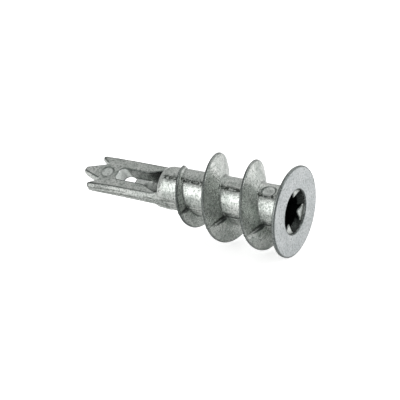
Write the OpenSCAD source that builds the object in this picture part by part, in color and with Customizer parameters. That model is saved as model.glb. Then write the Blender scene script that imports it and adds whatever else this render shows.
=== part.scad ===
// Self-drilling drywall anchor: one zinc die casting with a flat round head,
// a coarse deep thread on a hollow shank, and a three-spur drill blade.
// The axis is +Y, from the head into the wall. The wall plane is y = 0.
// Millimetres.

/* [Head] */
// Diameter of the head
head_d = 15; // [12:0.1:20]
// Thickness of the head at its rim
rim_t = 0.6; // [0.4:0.05:1.5]
// Height of the cone that joins the head to the shank
neck_h = 0.9; // [0.5:0.05:2]
// Depth of the small bevel on both edges of the rim
rim_bevel = 0.16; // [0.05:0.01:0.25]

/* [Shank] */
// Diameter of the shank under the head
shank_d = 7.6; // [7:0.1:10]
// Diameter of the shank at its shoulder, after the draft of the die
shank_end_d = 7; // [6:0.1:9]
// Distance from the wall plane to the shoulder in front of the blade
shoulder_z = 23; // [20:0.1:34]
// Length of the bevel on the shoulder
shoulder_bevel = 0.8; // [0.3:0.05:1.2]

/* [Thread] */
// Advance of the thread in one turn
pitch = 6.8; // [5:0.1:9]
// Diameter over the full crests
thread_d = 14.2; // [11:0.1:18]
// Width of the crest
crest_w = 0.44; // [0.3:0.02:0.8]
// Distance that the crest leans towards the drill end, off its root
crest_lean = 1.1; // [0:0.1:1.5]
// Length of the filleted root on the head side of the flight
root_w = 0.9; // [0.5:0.1:3]
// Turns of the thread, from its start under the head to the tip of its lead
thread_turns = 3.2; // [2:0.05:4]
// Turns over which the thread rises from under the shank to full height
lead_turns = 1.32; // [0.5:0.01:2]
// Turns over which the thread fades out under the head
fade_turns = 0.3; // [0.1:0.05:0.5]
// Step that the flight takes at its root where the two halves of the die part
part_step = 0.55; // [0.1:0.05:0.8]
// Distance from the wall plane to the start of the thread
thread_z = 2.64; // [2:0.02:5]
// Turn from the side of the blade to the start of the thread
thread_start = 18; // [-180:2:180]

/* [Drive recess and screw bore] */
// Diameter of the mouth in the head
mouth_d = 7.3; // [6:0.1:9]
// Depth of the straight wall of the mouth
mouth_h = 0.5; // [0.4:0.05:1]
// Diameter of the bore below the mouth
bore_d = 6.4; // [5:0.1:8]
// Diameter of the bore at the start of its far cone
bore_end_d = 5.3; // [4.5:0.1:7]
// Diameter of the circle that the rib edges leave at the mouth
rib_d = 4.1; // [3:0.1:6]
// Diameter of the circle that the rib edges leave at their far ends
rib_end_d = 3.2; // [2:0.1:5]

/* [Drill blade] */
// Overall length of the anchor
length = 39; // [34:0.1:50]
// Diameter of the round edges of the blade
blade_d = 6.9; // [6:0.1:9]
// Thickness of the blade at the shoulder
blade_t = 2.2; // [1.8:0.05:4]
// Thickness of the blade at the bend beside the end of the slot
bend_t = 1.98; // [1.5:0.02:3]
// Thickness of the blade at its tip
tip_t = 1.34; // [0.8:0.02:3]
// Distance that the centre spur stands ahead of the side spurs
spur_lead = 1.9; // [1:0.1:4]
// Depth of the notches behind the centre spur
notch_h = 3.6; // [3:0.1:6]
// Width of the centre spur at its base
spur_w = 3.6; // [2:0.1:4]
// Draft that the notch walls gain from the parting plane to either face
notch_draft = 0.1; // [0.05:0.01:0.5]

/* [Screw exit] */
// Width of the slot in the blade
slot_w = 2.6; // [2:0.02:4]
// Distance from the tip to the end of the slot
slot_end = 6.25; // [5:0.05:9]
// Distance from the middle of the blade to the floor of the slot
floor_y = 0.95; // [0.7:0.05:1.5]
// Length of the open window past the floor of the slot
window_l = 1.75; // [1:0.05:4]
// Radius of the round corners at the end of the slot
slot_round = 0.8; // [0.2:0.05:1.1]

/* [Position] */
// Turn of the casting about its axis; at 0 the blade is level
turn = -25; // [-180:5:180]

/* [Hidden] */
$fn = 96;
eps = 0.02;
head_r = head_d/2;
shank_r = shank_d/2;
shank_end_r = shank_end_d/2;
crest_r = thread_d/2;
mouth_r = mouth_d/2;
bore_r = bore_d/2;
bore_end_r = bore_end_d/2;
blade_r = blade_d/2;
neck_z = rim_t + neck_h;
slot_z = length - slot_end;
wall = shank_end_r - bore_end_r;
bore_end_z = shoulder_z + 1.4;       // start of the bore's far cone
cone_z = shoulder_z + 5;             // the bore has narrowed to the slot's width
end_slope = 0.45;                    // lean of the slot's end wall
window_z = slot_z - end_slope*(floor_y + bend_t/2);    // far end of the window
bend_z = slot_z - 0.85;              // bend in both flats of the blade
back_z = shoulder_z + 0.9;           // the shoulder on the back of the blade
boss_z = window_z - window_l;        // far end of the round back of the tube
rib_z = shoulder_z - 1.5;            // far ends of the ribs
rib_drop = 0.25;                     // slope of the rib ends below the mouth wall
pin_d = 2.1;                         // ejector pin marks
pin_depth = 0.15;
bury = 0.9;                          // depth that the flight's root goes into the shank
turn_step = 10;                      // angle between stations of the thread
part_ramp = 1.5;                     // angle that each parting step takes

// Radius of the tapering shank at a height above the wall plane
function shank_at(z) =
    shank_r + (shank_end_r - shank_r)*(z - neck_z)/(shoulder_z - neck_z);

// Share of the full thread height after a number of turns from the head
function rise_at(turns) =
    max(0.03, min(1, turns/fade_turns, (thread_turns - turns)/lead_turns));

// Half thickness of the blade, with the bend in its flats
function blade_half(z) =
    z < bend_z
        ? (blade_t + (bend_t - blade_t)*(z - shoulder_z)/(bend_z - shoulder_z))/2
        : (bend_t + (tip_t - bend_t)*(z - bend_z)/(length - bend_z))/2;

// Share of the parting step that one flank has at an angle. It grows over a
// quarter turn up to the parting plane, then drops in a short ramp: each half
// of the die draws straight out, so no flank may undercut it.
function step_at(angle) =
    let (a = angle - 180*floor(angle/180) - 90)
    a <= 0 ? 0 : min(a/(90 - part_ramp), (90 - a)/part_ramp);

// Section of the flight: [radius, height along the axis], root to root.
// The tip-side flank is steep; the head-side flank ends in a hollow fillet.
// The section sinks into the shank as the rise falls to nothing.
function flight_section(angle) =
    let (
        turns = (angle - thread_start)/360,
        k = rise_at(turns),
        head_step = part_step*k*step_at(angle),
        tip_step = part_step*k*step_at(-angle),
        z = thread_z + pitch*turns,
        sunk = shank_at(z) - bury,
        full = crest_r - shank_at(z),
        root = z - crest_lean,
        crest = z - crest_lean*sqrt(1 - k),
        w = root_w*(0.5 + 0.5*k)
    )
    [
        [sunk - 0.2, root - 1.1*w - head_step],
        [sunk + (bury + 0.02*full)*k, root - w - head_step],
        [sunk + (bury + 0.10*full)*k, root - 0.5*w - head_step],
        [sunk + (bury + 0.28*full)*k, root - 0.1*w - 0.95*head_step],
        [sunk + (bury + 0.60*full)*k, root + 0.46*(crest - root) - 0.6*head_step],
        [sunk + (bury + full)*k, crest - crest_w/2],
        [sunk + (bury + full)*k, crest + crest_w/2],
        [sunk + (bury + 0.10*full)*k, root + 0.9*crest_w + 0.9*tip_step],
        [sunk - 0.2, root + 1.5*crest_w + tip_step]
    ];

// Flat head, its bevelled rim and the cone under it
module head() {
    rotate_extrude()
        polygon([
            [0, 0],
            [head_r - rim_bevel, 0],
            [head_r, rim_bevel],
            [head_r, rim_t - rim_bevel],
            [head_r - rim_bevel, rim_t],
            [shank_r + 0.9, rim_t + 0.25],
            [shank_r + 0.3, rim_t + 0.55],
            [shank_at(neck_z), neck_z],
            [shank_at(neck_z + 1), neck_z + 1],
            [0, neck_z + 1]
        ]);
}

// Drafted shank with its bevelled shoulder
module shank() {
    rotate_extrude()
        polygon([
            [0, neck_z],
            [shank_at(neck_z), neck_z],
            [shank_end_r, shoulder_z],
            [shank_end_r - 0.45, shoulder_z + shoulder_bevel],
            [0, shoulder_z + shoulder_bevel]
        ]);
}

// Coarse right-hand flight, swept station by station
module thread() {
    last = thread_start + 360*thread_turns;
    first = turn_step*ceil((thread_start + 2*part_ramp)/turn_step);
    angles = [
        thread_start,
        for (a = [first:turn_step:last - 2*part_ramp])
            each (a%180 == 0 ? [a - part_ramp, a, a + part_ramp] : [a]),
        last
    ];
    count = len(angles) - 1;
    sections = [for (a = angles) flight_section(a)];
    m = len(sections[0]);
    points = [
        for (i = [0:count])
            for (p = sections[i]) [p[0]*cos(angles[i]), p[0]*sin(angles[i]), p[1]]
    ];
    sides = [
        for (i = [0:count - 1]) for (j = [0:m - 1]) let (k = (j + 1)%m)
            each [
                [i*m + j, i*m + k, (i + 1)*m + k],
                [i*m + j, (i + 1)*m + k, (i + 1)*m + j]
            ]
    ];
    near_end = [for (j = [m - 1:-1:0]) j];
    far_end = [for (j = [0:m - 1]) count*m + j];
    polyhedron(points, concat([near_end], sides, [far_end]));
}

// Width of the blade and of its spurs, drawn across it without the notches
module blade_outline() {
    side_z = length - spur_lead;
    half = [
        [blade_r, shoulder_z - 1],
        [blade_r, side_z - 0.7],
        [blade_r - 0.12, side_z - 0.25],
        [blade_r - 0.45, side_z],
        [spur_w/2 - 0.3, side_z],
        [0.6, length - 0.45],
        [0.32, length]
    ];
    polygon(concat(half, [for (i = [len(half) - 1:-1:0]) [-half[i][0], half[i][1]]]));
}

// One notch beside the centre spur, cut from the parting plane out to a face.
// Both of its walls spread by the draft, so the spurs are widest at the parting.
module notch(face) {
    reach = blade_t/2 + 0.4;
    top = length + 1;
    side_x = blade_r - 0.45;
    bottom = [spur_w/2, length - notch_h];
    function wall_at(x, z) = bottom + ([x, z] - bottom)*(top - bottom[1])/(z - bottom[1]);
    inner = wall_at(0.4, length);
    outer = wall_at(side_x, length - spur_lead);
    d = notch_draft*reach/(bend_t/2);
    polyhedron(
        [
            [bottom[0], 0, bottom[1]],
            [inner[0], 0, top],
            [outer[0], 0, top],
            [bottom[0], face*reach, bottom[1] - 2*d],
            [inner[0] - d, face*reach, top],
            [outer[0] + d, face*reach, top]
        ],
        face > 0
            ? [[0, 1, 2], [5, 4, 3], [0, 3, 4], [4, 1, 0], [1, 4, 5], [5, 2, 1], [2, 5, 3], [3, 0, 2]]
            : [[2, 1, 0], [3, 4, 5], [4, 3, 0], [0, 1, 4], [5, 4, 1], [1, 2, 5], [3, 5, 2], [2, 0, 3]]
    );
}

module notches() {
    for (side = [0, 1])
        mirror([side, 0, 0])
            for (face = [-1, 1])
                notch(face);
}

// Blade: a round bar between two drafted flats, ending in three spurs
module blade() {
    difference() {
        intersection() {
            translate([0, 0, shoulder_z - 1])
                cylinder(h = length - shoulder_z + 2, r = blade_r);
            translate([0, head_r, 0])
                rotate([90, 0, 0])
                    linear_extrude(head_d)
                        blade_outline();
            rotate([90, 0, 90])
                linear_extrude(head_d, center = true)
                    polygon([
                        [-blade_half(shoulder_z - 1), shoulder_z - 1],
                        [blade_half(shoulder_z - 1), shoulder_z - 1],
                        [bend_t/2, bend_z],
                        [blade_half(length + 1), length + 1],
                        [-blade_half(length + 1), length + 1],
                        [-bend_t/2, bend_z]
                    ]);
        }
        notches();
    }
}

// Round back of the tube, which carries the slot's floor behind the blade
module tube_back() {
    intersection() {
        rotate_extrude()
            polygon([
                [0, shoulder_z - 1],
                [shank_end_r, shoulder_z - 1],
                [shank_end_r, back_z],
                [shank_end_r - 0.45, back_z + 0.9],
                [slot_w/2 + wall, boss_z],
                [slot_w/2, boss_z + 0.7],
                [0, boss_z + 0.7]
            ]);
        translate([-head_r, 0, shoulder_z - 1])
            cube([head_d, head_r, length]);
    }
}

// Space of the drive recess and the screw bore, with its far cone
module bore() {
    rotate_extrude()
        polygon([
            [0, -eps],
            [mouth_r, -eps],
            [mouth_r, mouth_h],
            [bore_r, mouth_h + 0.9],
            [bore_end_r, bore_end_z],
            [slot_w/2, cone_z],
            [0, cone_z + 0.9]
        ]);
}

// One rib: a square edge that runs down the bore wall towards +X
module rib() {
    fall = atan((rib_d - rib_end_d)/2/(rib_z - mouth_h));
    difference() {
        translate([rib_d/2, 0, mouth_h])
            rotate([0, -fall, 0])
                translate([0, 0, -1])
                    linear_extrude(rib_z - mouth_h + 1)
                        polygon([
                            [0, 0],
                            [mouth_r, mouth_r],
                            [mouth_r, -mouth_r]
                        ]);
        translate([mouth_r, 0, mouth_h])
            rotate([0, atan(rib_drop/(mouth_r - rib_d/2)), 0])
                translate([-head_d, -head_r, -head_d])
                    cube(head_d);
    }
}

// The four ribs stand at 45 degrees to the blade
module ribs() {
    for (a = [45:90:315])
        rotate([0, 0, a])
            rib();
}

// Plan of the slot and the window: parallel sides and a far end at 0 with
// round corners, drawn across the blade
module exit_plan(l) {
    square_end = l - slot_round;
    translate([-slot_w/2, -l])
        square([slot_w, square_end]);
    translate([-slot_w/2 + slot_round, -l])
        square([slot_w - 2*slot_round, l]);
    for (side = [-1, 1])
        translate([side*(slot_w/2 - slot_round), -slot_round])
            circle(slot_round);
}

// Slot cut into the front of the blade, with its leaning end wall
module slot() {
    intersection() {
        translate([0, -bend_t/2, slot_z])
            rotate([90 - atan(end_slope), 0, 0])
                linear_extrude(4*head_d, center = true)
                    exit_plan(2*head_d);
        translate([-head_r, -head_r, shoulder_z + 1])
            cube([head_d, head_r + floor_y, length]);
    }
}

// Window where the screw comes out through the back of the blade
module window() {
    translate([0, head_r, window_z])
        rotate([90, 0, 0])
            linear_extrude(head_r)
                exit_plan(window_l);
}

// Shallow round marks of the ejector pins, on the blade and on the shank
module pin_marks() {
    blade_mark_z = length - 4.5;
    translate([0, pin_depth - blade_half(blade_mark_z), blade_mark_z])
        rotate([90, 0, 0])
            cylinder(h = head_r, r = pin_d/2);
    translate([0, -shank_at(4) + 0.2, 4])
        rotate([90, 0, 0])
            cylinder(h = head_r, r = pin_d/2);
}

module anchor() {
    color([0.62, 0.63, 0.62])
        rotate([-90, 0, 0])
            rotate([0, 0, turn])
                difference() {
                    union() {
                        head();
                        shank();
                        blade();
                        tube_back();
                        thread();
                    }
                    difference() {
                        bore();
                        ribs();
                    }
                    slot();
                    window();
                    pin_marks();
                }
}

anchor();
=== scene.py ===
import bpy
import numpy as np
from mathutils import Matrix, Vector


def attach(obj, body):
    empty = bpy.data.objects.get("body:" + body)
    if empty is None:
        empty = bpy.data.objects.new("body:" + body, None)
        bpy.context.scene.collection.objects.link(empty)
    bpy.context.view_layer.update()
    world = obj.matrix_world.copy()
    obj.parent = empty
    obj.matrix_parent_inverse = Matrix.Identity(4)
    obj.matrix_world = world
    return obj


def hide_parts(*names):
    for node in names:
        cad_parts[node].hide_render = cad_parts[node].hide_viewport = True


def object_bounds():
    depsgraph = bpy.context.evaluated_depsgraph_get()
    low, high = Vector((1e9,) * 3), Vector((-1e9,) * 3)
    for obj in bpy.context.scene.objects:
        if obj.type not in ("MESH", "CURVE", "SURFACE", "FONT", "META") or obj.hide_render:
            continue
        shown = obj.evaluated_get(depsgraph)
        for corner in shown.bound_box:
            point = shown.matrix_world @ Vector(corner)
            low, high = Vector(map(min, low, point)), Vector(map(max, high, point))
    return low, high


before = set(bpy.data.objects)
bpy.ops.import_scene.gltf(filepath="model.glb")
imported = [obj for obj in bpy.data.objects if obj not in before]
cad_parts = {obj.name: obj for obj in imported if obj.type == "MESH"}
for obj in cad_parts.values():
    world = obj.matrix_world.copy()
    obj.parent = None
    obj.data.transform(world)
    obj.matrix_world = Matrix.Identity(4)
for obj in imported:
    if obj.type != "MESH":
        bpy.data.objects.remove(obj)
cad_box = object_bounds()


# ---------------------------------------------------------------- the anchor
# One die casting in zinc alloy: flat head, ribbed bore, hollow shank, coarse
# flight and three-spur blade. It is cast in a die of two halves, and the metal
# runs from each form into the next through a small fillet.

# The casting is one field of distances, in millimetres. z runs from the wall
# plane to the tip, x lies along the width of the blade, and the front of the
# blade faces -y. The halves of the die part at y = 0.


def rounded_max(a, b, k):
    """The larger of two distances. Within k of their corner it swells by up to
    a quarter of k, as a parabola, so that the edge between them is rounded."""
    near = np.maximum(k - np.abs(a - b), 0) / k
    return np.maximum(a, b) + near * near * k / 4


def rounded_min(a, b, k):
    """The smaller of two distances, with a fillet where they meet: the rounded
    larger of their negatives, turned back."""
    return -rounded_max(-a, -b, k)


def round_corner(a, b, radius):
    """The larger of two distances at right angles, with a true radius on their
    corner: the distance from a point that lies the radius inside both."""
    a, b = a + radius, b + radius
    return np.hypot(np.maximum(a, 0), np.maximum(b, 0)) + np.minimum(np.maximum(a, b), 0) - radius


# Head and shank. The shank starts inside the head and ends in a bevel.
HEAD_R = 7.494
RIM_T = 0.6
RIM_ROUND = 0.28
SHANK_R = 3.8
SHANK_END_R = 3.5
SHANK_Z = 0.2
NECK_Z = 1.5
NECK_FILLET = 1.3
SHOULDER_Z = 23.0
SHOULDER_BEVEL = 0.8
BEVEL_RISE, BEVEL_COS = 0.56, 0.87
BEVEL_ROUND, SHOULDER_ROUND = 0.3, 0.2


def shank_at(z):
    """Radius of the drafted shank: a straight line from neck to shoulder."""
    return SHANK_R + (SHANK_END_R - SHANK_R) * (z - NECK_Z) / (SHOULDER_Z - NECK_Z)


def head_field(r, z):
    """Disc of radius HEAD_R between the wall plane and RIM_T, edges rounded."""
    return rounded_max(r - HEAD_R, np.abs(z - RIM_T / 2) - RIM_T / 2, RIM_ROUND)


def shank_field(r, z):
    """Tapered bar, cut by a bevel cone and by the plane of the shoulder."""
    bevel = (r - SHANK_END_R + BEVEL_RISE * (z - SHOULDER_Z)) * BEVEL_COS
    side = rounded_max(r - shank_at(z), bevel, BEVEL_ROUND)
    end = rounded_max(side, z - SHOULDER_Z - SHOULDER_BEVEL, SHOULDER_ROUND)
    return np.maximum(end, SHANK_Z - z)


# Flight. It leads in over LEAD_TURNS at the tip end, fades out over FADE_TURNS
# at the head, and is buried in the shank so that it starts from nothing.
PITCH = 6.8
CREST_R = 7.1
CREST_W = 0.44
CREST_LEAN = 1.1
CREST_ROUND = 0.22
CREST_WAVE = 0.02
ROOT_GROWTH = 0.2
FLANK_COS = 0.94
HEAD_FILLET, TIP_FILLET = 0.26, 0.2
THREAD_Z = 2.64
THREAD_START = 18.0
THREAD_TURNS = 3.2
LEAD_TURNS = 1.27
FADE_TURNS = 0.3
BURY = 0.9
PART_STEP = 0.55
PART_RUN = 0.12


def flight_field(x, y, r, z):
    """Coarse right-hand flight and the size of its root fillet. At each point: the
    turn that passes nearest (half its lean is 0.08 of a turn), the height it has
    risen to, and the distance to a fin that leans from its root to its crest and
    thins as it rises and along its lead. Two sine waves leave the crest a little
    uneven. In the quarter turn before the parting plane one flank stands off by
    a step that grows to the plane, because each half of the die has to draw
    straight out."""
    angle = (np.degrees(np.arctan2(y, x)) - THREAD_START) / 360
    turns = angle + np.round((z - THREAD_Z) / PITCH - angle + 0.08)
    rise = np.minimum(1, np.minimum(turns / FADE_TURNS, (THREAD_TURNS - turns) / LEAD_TURNS))
    root_r = shank_at(THREAD_Z + PITCH * turns)
    crest_r = root_r - BURY + (CREST_R - root_r + BURY) * rise
    crest_r = crest_r + CREST_WAVE * np.sin(41 * turns) * np.sin(23 * turns + 1)
    height = np.maximum(crest_r - root_r, 0.3)
    share = np.clip((r - root_r) / height, -0.3, 1.1)
    crest_off = -CREST_LEAN * np.sqrt(1 - np.clip(rise, 0, 1))
    middle = -CREST_LEAN + (crest_off + CREST_LEAN) * share
    half = (CREST_W / 2 + ROOT_GROWTH * (1 - share)) * np.clip(0.45 + 0.55 * rise, 0, 1)
    near_part = 1 - np.degrees(np.arctan2(np.abs(y), np.abs(x))) / 90
    step = PART_STEP * np.clip(rise, 0, 1) * near_part * np.clip(np.abs(y) / PART_RUN, 0, 1)
    head_step = step * (x * y < 0) * np.interp(share, [0.1, 0.28, 0.6, 1], [1, 0.95, 0.6, 0])
    tip_step = step * (x * y > 0) * np.interp(share, [0.1, 1], [0.9, 0])
    off = (z - THREAD_Z - PITCH * turns - middle) * FLANK_COS
    fin = np.maximum(off - half - tip_step, -off - half - head_step)
    fillet = np.where(off < 0, HEAD_FILLET, TIP_FILLET) * np.clip(rise, 0.3, 1)
    return rounded_max(fin, r - crest_r, CREST_ROUND), fillet


# Blade and its three spurs. What cuts the spurs to shape is given by the way it
# faces: a share of x and a share of z, and for the relief one of y.
LENGTH = 39.0
SLOT_Z = LENGTH - 6.25
BLADE_R = 3.45
BLADE_T = 2.2
BEND_T = 1.98
BEND_Z = SLOT_Z - 0.85
TIP_T = 1.34
TIP_BACK_T = 0.94 * BEND_T
TIP_ROUND = 0.34
SIDE_Z = LENGTH - 1.9
SIDE_END_Z = SIDE_Z + 0.2
CORNER_Z = SIDE_Z - 0.3
NOTCH_X = 1.8
NOTCH_Z = LENGTH - 3.6
NOTCH_DRAFT = 0.1
CENTRE_WALL_X, CENTRE_WALL_Z = 0.932, 0.362
SIDE_WALL_X, SIDE_WALL_Z = 0.817, 0.577
CORNER_CUT_X, CORNER_CUT_Z = 0.841, 0.541
CENTRE_ROUND, SIDE_ROUND, CORNER_ROUND = 0.15, 0.3, 0.4
RELIEF_X, RELIEF_Y, RELIEF_REACH = 0.86, 0.51, 3.08
EDGE_ROUND = 0.12


def blade_half(z):
    """Half thickness of the blade in front: two drafts that meet at the bend."""
    return np.interp(z, [SHOULDER_Z, BEND_Z, LENGTH], [BLADE_T / 2, BEND_T / 2, TIP_T / 2])


def blade_field(x, y, r, z):
    """Round bar between two flats, with a relief along each trailing edge. The
    front flat falls towards the tip, the back one hardly. Its end is the
    centre spur joined to the side spurs, each a half plane along a notch
    wall, with a full round over its nose. The draft sets that wall out by
    NOTCH_DRAFT at the parting plane and in by 1.4 times as much at a face."""
    ax = np.abs(x)
    back_half = np.interp(
        z, [SHOULDER_Z, BEND_Z, LENGTH], [BLADE_T / 2, BEND_T / 2, TIP_BACK_T / 2])
    thick = np.where(y < 0, -y - blade_half(z), y - back_half)
    draft = NOTCH_DRAFT * (2.4 * np.abs(y) / (BEND_T / 2) - 1)
    centre = (ax - NOTCH_X) * CENTRE_WALL_X + (z - NOTCH_Z) * CENTRE_WALL_Z + draft
    centre = rounded_max(centre, round_corner(z - LENGTH, thick, TIP_ROUND), CENTRE_ROUND)
    side = (NOTCH_X - ax) * SIDE_WALL_X + (z - NOTCH_Z) * SIDE_WALL_Z + draft
    corner = (ax - BLADE_R) * CORNER_CUT_X + (z - CORNER_Z) * CORNER_CUT_Z
    side = rounded_max(side, round_corner(z - SIDE_END_Z, thick, TIP_ROUND), SIDE_ROUND)
    side = rounded_max(side, corner, CORNER_ROUND)
    relief = np.where(x * y > 0, RELIEF_X * ax + RELIEF_Y * np.abs(y) - RELIEF_REACH, -1)
    bar = rounded_max(np.maximum(r - BLADE_R, relief), thick, EDGE_ROUND)
    spurs = np.minimum(centre, side)
    return rounded_max(np.maximum(bar, SHOULDER_Z - 1 - z), spurs, EDGE_ROUND)


# Inside of the casting: mouth, bore, ribs, and the cone where the bore ends.
MOUTH_R = 3.65
MOUTH_H = 0.5
BORE_R = 3.2
BORE_Z = MOUTH_H + 0.9
BORE_END_R = 2.65
BORE_END_Z = SHOULDER_Z + 1.4
BORE_COS = 0.95
BORE_ROUND = 0.1
CONE_Z = SHOULDER_Z + 5
CONE_END_Z = CONE_Z + 0.9
RIB_R = 2.05
RIB_END_R = 1.6
RIB_Z = SHOULDER_Z - 1.5
RIB_DROP = 0.25
RIB_ROUND = 0.12

# Slot in front and window behind, and the boss that closes the back over them.
SLOT_W = 2.6
SLOT_SLOPE, SLOT_COS = 0.45, 0.912
SLOT_ROUND = 0.8
SLOT_EDGE = 0.15
FLOOR_Y = 0.95
WINDOW_L = 1.75
WINDOW_Z = SLOT_Z - SLOT_SLOPE * (FLOOR_Y + BEND_T / 2)
BOSS_Z = WINDOW_Z - WINDOW_L
BOSS_END_Z = BOSS_Z + 0.7
BACK_Z = SHOULDER_Z + 0.9
BACK_STEP, BACK_STEP_Z = 0.45, BACK_Z + 0.9
BACK_COS, BACK_ROUND = 0.93, 0.2


def tube_back_field(y, r, z):
    """Back half of a cone that narrows with the bore and ends at the window."""
    stops = [SHOULDER_Z - 1, BACK_Z, BACK_STEP_Z, BOSS_Z, BOSS_END_Z]
    wall = SHANK_END_R - BORE_END_R
    radii = [SHANK_END_R, SHANK_END_R, SHANK_END_R - BACK_STEP, SLOT_W / 2 + wall, SLOT_W / 2]
    cone = (r - np.interp(z, stops, radii)) * BACK_COS
    cone = rounded_max(cone, z - BOSS_END_Z, BACK_ROUND)
    return np.maximum(np.maximum(cone, -y), SHOULDER_Z - 1 - z)


def rib_top(r):
    """Where a rib's end lies: it drops from the mouth's step towards the axis."""
    return MOUTH_H + RIB_DROP * (MOUTH_R - r) / (MOUTH_R - RIB_R)


def bore_field(x, y, r, z):
    """Space inside the casting: a bore that steps in below the mouth, narrows and
    ends in a cone, less four ribs whose square edges stand on the diagonals."""
    stops = [MOUTH_H, BORE_Z, BORE_END_Z, CONE_Z, CONE_END_Z]
    space = (r - np.interp(z, stops, [MOUTH_R, BORE_R, BORE_END_R, SLOT_W / 2, 0])) * BORE_COS
    space = np.maximum(space, z - CONE_END_Z)
    fall = (z - MOUTH_H) / (RIB_Z - MOUTH_H)
    edge = (RIB_R + (RIB_END_R - RIB_R) * fall) / np.sqrt(2)
    rib = rounded_max(edge - np.minimum(np.abs(x), np.abs(y)), rib_top(r) - z, RIB_ROUND)
    return rounded_max(space, -np.maximum(rib, z - RIB_Z), BORE_ROUND)


def slot_field(x, y, z):
    """Slot from the front down to its floor, with a leaning end wall, joined to
    the window that goes on through the back. Both have round far corners."""
    side = np.abs(x) - SLOT_W / 2
    end = (z - SLOT_Z + SLOT_SLOPE * (y + BEND_T / 2)) * SLOT_COS
    slot = rounded_max(round_corner(side, end, SLOT_ROUND), y - FLOOR_Y, SLOT_EDGE)
    slot = np.maximum(slot, SHOULDER_Z + 1 - z)
    window = rounded_max(round_corner(side, z - WINDOW_Z, SLOT_ROUND), BOSS_Z - z, SLOT_EDGE)
    return np.minimum(slot, np.maximum(window, -y))


# Marks of the two ejector pins, and the ridge at the parting plane.
PIN_R = 1.1
PIN_Z = LENGTH - 4.3
PIN_DEPTH = 0.15
NECK_PIN_Z = 4.0
NECK_PIN_DEPTH = 0.2
PIN_EDGE = 0.05
RIDGE_H, RIDGE_W, RIDGE_X = 0.05, 0.16, 3.0
TUBE_FILLET, BLADE_FILLET = 0.3, 0.35
OPENING_ROUND = 0.14


def pin_mark_field(x, y, z):
    """Shallow flat-bottomed discs that the ejector pins leave, one on the front
    of the blade and one on the shank below the head."""
    on_blade = np.maximum(np.hypot(x, z - PIN_Z) - PIN_R, y + blade_half(PIN_Z) - PIN_DEPTH)
    on_shank = np.maximum(np.hypot(x, z - NECK_PIN_Z) - PIN_R,
                          y + shank_at(NECK_PIN_Z) - NECK_PIN_DEPTH)
    return np.minimum(on_blade, on_shank)


def casting_field(x, y, z):
    """Signed distance to the skin of the casting, negative in the metal: the
    forms joined with fillets, less the bore, the slot and the pin marks. A low
    ridge follows the parting plane along the shank and the blade's edges."""
    r = np.hypot(x, y)
    body = rounded_min(head_field(r, z), shank_field(r, z), NECK_FILLET)
    flight, fillet = flight_field(x, y, r, z)
    body = rounded_min(body, flight, fillet)
    body = rounded_min(body, tube_back_field(y, r, z), TUBE_FILLET)
    body = rounded_min(body, blade_field(x, y, r, z), BLADE_FILLET)
    body = np.maximum(body, -z)
    ridge = RIDGE_H * np.exp(-((y / RIDGE_W) ** 2)) * (z > NECK_Z) * (np.abs(x) > RIDGE_X)
    body = body - ridge
    body = rounded_max(body, -bore_field(x, y, r, z), OPENING_ROUND)
    body = rounded_max(body, -slot_field(x, y, z), OPENING_ROUND)
    return rounded_max(body, -pin_mark_field(x, y, z), PIN_EDGE)


def slope_of(points, step=0.02):
    """Gradient of the field: its change over a small step along each axis."""
    x, y, z = points.T
    return np.stack([
        casting_field(x + step, y, z) - casting_field(x - step, y, z),
        casting_field(x, y + step, z) - casting_field(x, y - step, z),
        casting_field(x, y, z + step) - casting_field(x, y, z - step),
    ], axis=1) / (2 * step)


def bend_of(points, reach=0.3):
    """How the skin bends round each point, from about +1 on an outer edge through
    0 on a flat to -1 in a crease: the mean rise of the field to the six points
    that lie one reach away along the axes, as a share of the reach."""
    here = casting_field(*points.T)
    ways = np.concatenate([np.eye(3), -np.eye(3)]) * reach
    rise = sum(casting_field(*(points + way).T) - here for way in ways) / 6
    return np.clip(4 * rise / reach, -1, 1)


# Where the skin is marked, and where shade and light are painted on it.
# ON_SKIN is how near a point of the skin lies to the form that cut it,
# SHANK_REACH how far out the shank's own skin may lie. The rest say how strong
# the painted shade, the drag marks, the flow line and the painted light are,
# how wide, and from where to where.
ON_SKIN = 0.03
SHANK_REACH = 3.95
SHADE_Z, SHADE_SHARE = [0.3, 0.5, 24.5, 27.5], [0, 0.98, 0.98, 0.1]
SLOT_SHADE, SLOT_SHADE_Z = 0.6, [SLOT_Z - 1.6, SLOT_Z - 1.2]
STEP_SHADE_R, STEP_SHADE, STEP_SHADE_W = [4.5, 5.2, 5.4, 6.2], [0.9, 0.4, 0.4, 0], 0.22
TRAIL_SHADE, TRAIL_SHADE_W, TRAIL_X = 0.6, 0.1, 2.88
DRAG_W, DRAG_X = 0.8, 2.85
FLOW_SIDE, FLOW_W = 0.27, 0.4
PAINTED_LIGHT_Z = 27.5
PAINTED_LIGHT_END = [SLOT_Z - 1.2, SLOT_Z - 0.7]
PAINTED_LIGHT_RIB, PAINTED_LIGHT_PIN = 0.35, 0.3


def on_rib_end(x, y, z):
    """Whether each point lies on the end of a rib: inside the rib's square edge
    and less than 0.1 mm below the slope that its end follows."""
    in_rib = np.minimum(np.abs(x), np.abs(y)) > RIB_R / np.sqrt(2) - 0.05
    return in_rib & (z < rib_top(np.hypot(x, y)) + 0.1)


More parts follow.
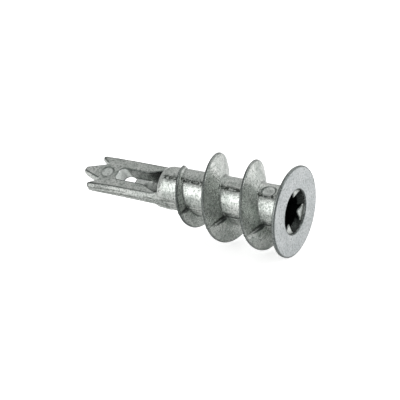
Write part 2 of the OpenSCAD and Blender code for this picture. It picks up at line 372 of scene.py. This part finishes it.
def painted_shade_of(points):
    """Share of painted shade at each point: all over the
    bore but the ends of its ribs, fading past the shank, more than half on the
    long walls of the slot, in the steps at the parting plane, and in a thin
    line along each trailing edge of the blade."""
    x, y, z = points.T
    r = np.hypot(x, y)
    on_bore = np.abs(bore_field(x, y, r, z)) < ON_SKIN
    bore = on_bore * np.interp(z, SHADE_Z, SHADE_SHARE) * ~on_rib_end(x, y, z)
    on_wall = (np.abs(slot_field(x, y, z)) < ON_SKIN) & (np.abs(x) > SLOT_W / 2 - 2 * ON_SKIN)
    wall = SLOT_SHADE * on_wall * np.interp(z, SLOT_SHADE_Z, [1, 0])
    step = np.interp(r, STEP_SHADE_R, STEP_SHADE)
    step = step * np.exp(-((y / STEP_SHADE_W) ** 2)) * (r > SHANK_R - 0.1) * (z > NECK_Z)
    trail = np.exp(-(((np.abs(y) - blade_half(z) + 0.04) / TRAIL_SHADE_W) ** 2)) * (x * y > 0)
    on_blade = (np.abs(x) > TRAIL_X) & (r < SHANK_END_R) & (z > BACK_STEP_Z)
    return np.max([bore, wall, step, TRAIL_SHADE * trail * on_blade], axis=0)


def drag_of(points):
    """Share of lengthwise drag marks at each point, where the die slid along the
    skin: on the shank and the blade beside the parting plane."""
    x, y, z = points.T
    on_side = (np.abs(x) > DRAG_X) & (z > NECK_Z) & (np.hypot(x, y) < SHANK_REACH)
    return np.exp(-((y / DRAG_W) ** 2)) * on_side


def cold_of(points):
    """Share of dark specks at each point along the cold flow line that runs down
    the front of the shank, to one side by FLOW_SIDE of its radius."""
    x, y, z = points.T
    r = np.hypot(x, y)
    on_front = (y < 0) & (z > NECK_Z) & (z < SHOULDER_Z) & (r < SHANK_REACH)
    return np.exp(-(((x + FLOW_SIDE * r) / FLOW_W) ** 4)) * on_front


def painted_light_of(points):
    """Share of painted light at each point, where the skin is painted pale: on
    the floor and the end of the slot, on the ends of the ribs, and in the pin
    marks."""
    x, y, z = points.T
    on_rib = on_rib_end(x, y, z) & (np.hypot(x, y) < MOUTH_R - 0.1) & (z > SHADE_Z[0])
    on_slot = (np.abs(slot_field(x, y, z)) < ON_SKIN) & (z > PAINTED_LIGHT_Z)
    end = np.interp(z + SLOT_SLOPE * (y + BEND_T / 2), PAINTED_LIGHT_END, [0.1, 1])
    floor = (y > FLOOR_Y - 4 * ON_SKIN) & (np.abs(x) < SLOT_W / 2 - 0.05)
    on_pin = np.abs(pin_mark_field(x, y, z)) < ON_SKIN
    return on_slot * np.maximum(end, floor) + PAINTED_LIGHT_PIN * on_pin + PAINTED_LIGHT_RIB * on_rib


CELL = 0.165
SLIDES = 4


def casting_skin(cell):
    """Skin of the field on a cubic grid of that cell. Each cell that the skin
    crosses gets one point, the mean of the crossings on its edges, and each grid
    edge that it crosses gets one four-sided face between the cells round it. The
    points then slide down the field's slope onto the skin itself, in SLIDES steps."""
    low = np.array([-HEAD_R - 2 * cell, -HEAD_R - 2 * cell, -2 * cell])
    count = np.ceil((np.array([HEAD_R, HEAD_R, LENGTH]) + 2 * cell - low) / cell).astype(int) + 1
    axes = [low[i] + cell * np.arange(count[i]) for i in range(3)]
    value = casting_field(*np.meshgrid(*axes, indexing="ij", sparse=True))
    inside = value < 0
    total = np.zeros(tuple(count - 1) + (3,))
    hits = np.zeros(tuple(count - 1))
    crossings = []
    for axis in range(3):
        near = [slice(None)] * 3
        far = [slice(None)] * 3
        near[axis], far[axis] = slice(None, -1), slice(1, None)
        a, b = value[tuple(near)], value[tuple(far)]
        change = inside[tuple(near)] != inside[tuple(far)]
        spot = np.argwhere(change)
        share = a[change] / (a[change] - b[change])
        crossings.append((axis, spot, inside[tuple(near)][change]))
        place = spot.astype(float)
        place[:, axis] += share
        others = [i for i in range(3) if i != axis]
        for step_a in (0, 1):
            for step_b in (0, 1):
                cell_at = spot.copy()
                cell_at[:, others[0]] -= step_a
                cell_at[:, others[1]] -= step_b
                at = tuple(cell_at.T)
                for i in range(3):
                    np.add.at(total[..., i], at, place[:, i])
                np.add.at(hits, at, 1)
    used = hits > 0
    number = np.full(hits.shape, -1)
    number[used] = np.arange(used.sum())
    points = low + cell * total[used] / hits[used][:, None]
    faces = []
    for axis, spot, starts_inside in crossings:
        u, v = (axis + 1) % 3, (axis + 2) % 3
        ring = []
        for du, dv in ((0, 0), (1, 0), (1, 1), (0, 1)):
            cell_at = spot.copy()
            cell_at[:, u] -= du
            cell_at[:, v] -= dv
            ring.append(number[tuple(cell_at.T)])
        quad = np.stack(ring, axis=1)
        quad[~starts_inside] = quad[~starts_inside][:, ::-1]
        faces.append(quad)
    for _ in range(SLIDES):
        slope = slope_of(points)
        drop = casting_field(*points.T) / np.maximum((slope ** 2).sum(1), 0.25)
        points = points - np.clip(drop[:, None] * slope, -0.3 * cell, 0.3 * cell)
    return points, np.concatenate(faces)


TURN = np.radians(-25)


def to_row(points):
    """From the frame of the blade to the frame of the model: a turn about the axis,
    which is then laid over from up to +Y."""
    x = points[:, 0] * np.cos(TURN) - points[:, 1] * np.sin(TURN)
    y = points[:, 0] * np.sin(TURN) + points[:, 1] * np.cos(TURN)
    return np.stack([x, points[:, 2], -y], axis=1)


def mesh_piece(name, points, faces, normals=None):
    """A piece from arrays of points in metres and four-sided faces."""
    mesh = bpy.data.meshes.new(name)
    mesh.vertices.add(len(points))
    mesh.vertices.foreach_set("co", points.ravel())
    mesh.loops.add(faces.size)
    mesh.loops.foreach_set("vertex_index", faces.ravel().astype(np.int32))
    mesh.polygons.add(len(faces))
    mesh.polygons.foreach_set("loop_start", np.arange(0, faces.size, 4, dtype=np.int32))
    mesh.update(calc_edges=True)
    mesh.validate()
    mesh.shade_smooth()
    if normals is not None:
        mesh.normals_split_custom_set_from_vertices(normals)
    piece = bpy.data.objects.new(name, mesh)
    bpy.context.scene.collection.objects.link(piece)
    return piece


def linear(hex_colour):
    """sRGB hex to linear RGBA: the standard curve, channel by channel."""
    channels = [int(hex_colour[i:i + 2], 16) / 255 for i in (1, 3, 5)]
    curve = [c / 12.92 if c <= 0.04045 else ((c + 0.055) / 1.055) ** 2.4 for c in channels]
    return (*curve, 1.0)


def add_node(tree, kind, inputs=None, **settings):
    """Adds one shader node. A value in inputs that is a socket is linked."""
    node = tree.nodes.new(kind)
    for key, value in settings.items():
        setattr(node, key, value)
    for key, value in (inputs or {}).items():
        if isinstance(value, bpy.types.NodeSocket):
            tree.links.new(value, node.inputs[key])
        else:
            node.inputs[key].default_value = value
    return node


def zinc():
    """Zinc alloy as it leaves the die: satin grey with a faint green, dulled in
    patches where the melt chilled, with a grain and pits that break up the
    sheen. The face of the head is painted paler and bluer, a painted reflection
    of cool light. Rims and crests are rubbed dark where the flash came off.
    Creases are painted darker as painted shade, and so are the bore, the long
    walls of the slot, the steps at the parting plane and a line along each
    trailing edge of the blade. The floor and end of the slot, the ends of the
    ribs and the pin marks are painted pale and duller as painted light, and each
    pin mark has a dark edge. Sizes are millimetres. The real grit is finer than
    a tenth of one, so grain and pits are drawn coarser to show."""
    mm = 0.001
    material = bpy.data.materials.new("die_cast_zinc")
    material.use_nodes = True
    tree = material.node_tree
    tree.nodes.clear()
    spot = add_node(tree, "ShaderNodeTexCoord").outputs["Object"]
    depth = add_node(tree, "ShaderNodeSeparateXYZ", {"Vector": spot}).outputs["Y"]

    def noise(size, detail, roughness, stretch=1.0):
        """Noise with spots of that size, stretched that many times along the axis."""
        place = add_node(tree, "ShaderNodeVectorMath", {0: spot, 1: (1, 1 / stretch, 1)},
                         operation="MULTIPLY").outputs["Vector"]
        return add_node(tree, "ShaderNodeTexNoise", {
            "Vector": place, "Scale": 1 / (size * mm), "Detail": detail,
            "Roughness": roughness}).outputs["Fac"]

    def pattern(name):
        """A pattern that the mesh carries at its points."""
        return add_node(tree, "ShaderNodeAttribute", attribute_name=name).outputs["Fac"]

    def ramp(value, low, high, at_low, at_high):
        """A straight line from at_low to at_high between two values, flat beyond."""
        return add_node(tree, "ShaderNodeMapRange", {
            "Value": value, "From Min": low, "From Max": high,
            "To Min": at_low, "To Max": at_high}).outputs["Result"]

    def combine(operation, a, b=0.0):
        """One sum on two values."""
        return add_node(tree, "ShaderNodeMath", {0: a, 1: b}, operation=operation).outputs[0]

    def blend(share, a, b):
        """Colour a, turned towards colour b by the share."""
        return add_node(tree, "ShaderNodeMix", {"Factor": share, 6: a, 7: b},
                        data_type="RGBA", blend_type="MIX").outputs[2]

    cloud = noise(2.4, 3.0, 0.55)
    grain = noise(0.36, 3.0, 0.65)
    pits = noise(0.17, 2.0, 0.5)
    streaks = noise(0.26, 2.0, 0.5, stretch=24.0)
    flecks = noise(0.24, 2.0, 0.6, stretch=1.6)

    colour = blend(ramp(cloud, 0.36, 0.64, 0, 1), linear("#bfc5c0"), linear("#e0e3df"))
    # The face of the head is painted paler and bluer: a painted reflection of cool light.
    colour = blend(ramp(depth, 0.1 * mm, 0.5 * mm, 0.5, 0), colour, linear("#cdd1d8"))
    grain_share = ramp(depth, 0, 1.2 * mm, 0.55, 0.68)
    grain_share = combine("MULTIPLY", ramp(grain, 0.36, 0.52, 1, 0), grain_share)
    colour = blend(grain_share, colour, linear("#677069"))
    colour = blend(ramp(pits, 0.38, 0.45, 0.38, 0), colour, linear("#4a514e"))

    bend = pattern("bend")
    colour = blend(ramp(bend, 0.26, 0.7, 0, 0.85), colour, linear("#444b48"))
    # Creases are painted darker here: painted shade where the skin folds in.
    colour = blend(ramp(bend, -0.08, -0.6, 0, 0.7), colour, linear("#363d38"))
    drag = combine("MULTIPLY", pattern("drag"), ramp(streaks, 0.4, 0.5, 0.75, 0))
    cold = combine("MULTIPLY", pattern("cold"), ramp(flecks, 0.5, 0.58, 1, 0))
    colour = blend(combine("MAXIMUM", drag, cold), colour, linear("#3a3f3a"))
    # Painted light: the floor and end of the slot, the rib ends and the pin marks are painted
    # pale, less on rounded edges; the same share makes them rougher and less metallic.
    painted_light = combine("MULTIPLY", pattern("painted_light"), ramp(grain, 0.35, 0.55, 0.7, 1))
    painted_light = combine("MULTIPLY", painted_light, ramp(bend, 0.25, 0.6, 1, 0))
    # Painted shade: the bore, the long walls of the slot, the steps at the parting plane and the
    # trailing edges of the blade are darkened.
    colour = blend(pattern("painted_shade"), colour, linear("#171c1a"))
    colour = blend(painted_light, colour, linear("#eff3f0"))

    blade_pin = (0, -blade_half(PIN_Z), PIN_Z)
    neck_pin = (0, NECK_PIN_DEPTH - shank_at(NECK_PIN_Z), NECK_PIN_Z)
    for centre in to_row(np.array([blade_pin, neck_pin])) * mm:
        reach = add_node(tree, "ShaderNodeVectorMath", {0: spot, 1: centre.tolist()},
                         operation="DISTANCE").outputs["Value"]
        off_edge = combine("ABSOLUTE", combine("SUBTRACT", reach, PIN_R * mm))
        colour = blend(ramp(off_edge, 0, 0.17 * mm, 0.85, 0), colour, linear("#4c5650"))

    rough = combine("ADD", ramp(grain, 0.35, 0.65, 0.31, 0.2), ramp(cloud, 0.3, 0.7, 0.06, -0.02))
    rough = combine("ADD", rough, combine("MULTIPLY", painted_light, 0.25))
    relief = combine("ADD", combine("MULTIPLY", grain, 0.6), combine("MULTIPLY", pits, 0.4))
    skin = add_node(tree, "ShaderNodeBump", {
        "Height": relief, "Strength": 1.0, "Distance": 0.05 * mm}).outputs["Normal"]
    shader = add_node(tree, "ShaderNodeBsdfPrincipled", {
        "Base Color": colour, "Metallic": ramp(painted_light, 0, 1, 0.84, 0.1),
        "Roughness": rough, "Normal": skin})
    add_node(tree, "ShaderNodeOutputMaterial", {"Surface": shader.outputs["BSDF"]})
    return material


skin_points, skin_faces = casting_skin(CELL)
skin_normals = slope_of(skin_points)
skin_normals /= np.linalg.norm(skin_normals, axis=1)[:, None]
casting = mesh_piece(
    "anchor_casting", to_row(skin_points) / 1000, skin_faces, to_row(skin_normals))
PATTERNS = {"bend": bend_of, "painted_shade": painted_shade_of, "painted_light": painted_light_of, "drag": drag_of, "cold": cold_of}
for pattern_name, values_of in PATTERNS.items():
    pattern_data = casting.data.attributes.new(pattern_name, "FLOAT", "POINT").data
    pattern_data.foreach_set("value", values_of(skin_points).astype(np.float32))
casting.data.materials.append(zinc())
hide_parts("anchor")
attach(casting, "root")


# ----------------------------------------------------------------- the floor
# A sheet of white card, pulp pressed flat and left matt, under the lowest point
# of the head. It is 3 m wide, and glows for the camera to stay white.

floor_z = cad_box[0][2]
FLOOR_HALF = 1.5
card_points = np.array([[-1, -1, 0], [1, -1, 0], [1, 1, 0], [-1, 1, 0]]) * FLOOR_HALF
card = mesh_piece("white_card", card_points + [0, 0, floor_z], np.array([[0, 1, 2, 3]]))
card_material = bpy.data.materials.new("white_card")
card_material.use_nodes = True
card_tree = card_material.node_tree
card_tree.nodes.clear()
seen = add_node(card_tree, "ShaderNodeLightPath").outputs
card_glow = add_node(card_tree, "ShaderNodeMath", {0: seen["Is Camera Ray"], 1: 0.6},
                     operation="MULTIPLY")
card_glow = add_node(card_tree, "ShaderNodeMath", {
    0: seen["Is Glossy Ray"], 1: 0.08, 2: card_glow.outputs[0]}, operation="MULTIPLY_ADD")
card_shader = add_node(card_tree, "ShaderNodeBsdfPrincipled", {
    "Base Color": linear("#f2f2f2"), "Roughness": 0.9,
    "Emission Color": linear("#ffffff"), "Emission Strength": card_glow.outputs[0]})
add_node(card_tree, "ShaderNodeOutputMaterial", {"Surface": card_shader.outputs["BSDF"]})
card.data.materials.append(card_material)


# ----------------------------------------------------------------- the light
# A white studio: even light from all round and four soft panels, a broad one
# on the side of the tip, a low wide one in front, and one high up at the
# front and at the right. The backdrop is lit to white on its own, for the
# camera alone. Places and sizes are in metres, powers in watts.

world = bpy.data.worlds.new("studio")
bpy.context.scene.world = world
world.use_nodes = True
world_tree = world.node_tree
world_tree.nodes.clear()
world_seen = add_node(world_tree, "ShaderNodeLightPath").outputs["Is Camera Ray"]
world_level = add_node(world_tree, "ShaderNodeMapRange", {
    "Value": world_seen, "To Min": 0.5, "To Max": 1.0})
world_back = add_node(world_tree, "ShaderNodeBackground", {
    "Color": linear("#ffffff"), "Strength": world_level.outputs["Result"]})
add_node(world_tree, "ShaderNodeOutputWorld", {"Surface": world_back.outputs["Background"]})


def panel(name, place, width, height, power):
    """A soft upright panel, turned to face the middle of the anchor."""
    light = bpy.data.lights.new(name, "AREA")
    light.shape = "RECTANGLE"
    light.size = width
    light.size_y = height
    light.energy = power
    lamp = bpy.data.objects.new(name, light)
    lamp.location = place
    aim = Vector((0, 0.015, 0)) - Vector(place)
    lamp.rotation_euler = aim.to_track_quat("-Z", "Y").to_euler()
    bpy.context.scene.collection.objects.link(lamp)


panel("panel_left", (-0.35, 0.2, 0.14), 0.42, 0.34, 0.69)
panel("panel_front", (0.3, -0.33, 0.09), 0.6, 0.24, 0.34)
panel("panel_top_front", (0.09, -0.27, 0.35), 0.24, 0.24, 0.62)
panel("panel_right", (0.3, 0.0, 0.3), 0.36, 0.36, 0.4)


# ---------------------------------------------------------------- the camera
# A long lens in front and to the left of the head, a little above it.

AZIMUTH = np.radians(-61.26)
ELEVATION = np.radians(21.17)
DISTANCE = 0.376
PIXELS_PER_MM = 6.179
AIM_X, AIM_Y = 212.85, 195.65
IMAGE = 400

camera_data = bpy.data.cameras.new("camera")
camera = bpy.data.objects.new("camera", camera_data)
bpy.context.scene.collection.objects.link(camera)
away = Vector((
    np.sin(AZIMUTH) * np.cos(ELEVATION), -np.cos(AZIMUTH) * np.cos(ELEVATION), np.sin(ELEVATION)))
camera.location = Vector((0, 0.015, 0)) + away * DISTANCE
camera.rotation_euler = away.to_track_quat("Z", "Y").to_euler()
camera_data.sensor_width = 36
camera_data.lens = 36 * PIXELS_PER_MM * DISTANCE * 1000 / IMAGE
camera_data.shift_x = -(AIM_X - IMAGE / 2) / IMAGE
camera_data.shift_y = -(IMAGE / 2 - AIM_Y) / IMAGE
camera_data.clip_start = 0.01
camera_data.clip_end = 10
bpy.context.scene.camera = camera
bpy.context.scene.view_settings.view_transform = "Standard"
